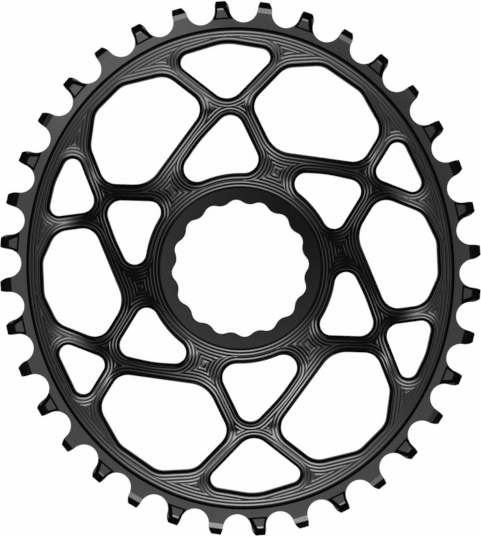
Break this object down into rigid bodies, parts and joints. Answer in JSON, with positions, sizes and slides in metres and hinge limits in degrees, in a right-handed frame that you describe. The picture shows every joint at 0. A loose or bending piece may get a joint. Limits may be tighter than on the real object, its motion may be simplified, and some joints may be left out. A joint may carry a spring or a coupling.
{
  "type": "bicycle chainring",
  "caption": "Oval direct-mount bicycle chainring with narrow-wide teeth, a dished strutted web with windows, and a lobed bore that slides onto a crank spline.",
  "frame": {"origin": "on the bore axis at the back of the rim, which is the plane the ring lies on", "axes": "+Z along the bore axis and out of the outboard face, +Y along the oval's long axis"},
  "size_m": [0.1426, 0.1588, 0.008],
  "materials": {
    "anodised": "black anodised, satin, with fine milled lines"
  },
  "bodies": {
    "root": {"chainring": "anodised"}
  },
  "joints": []
}
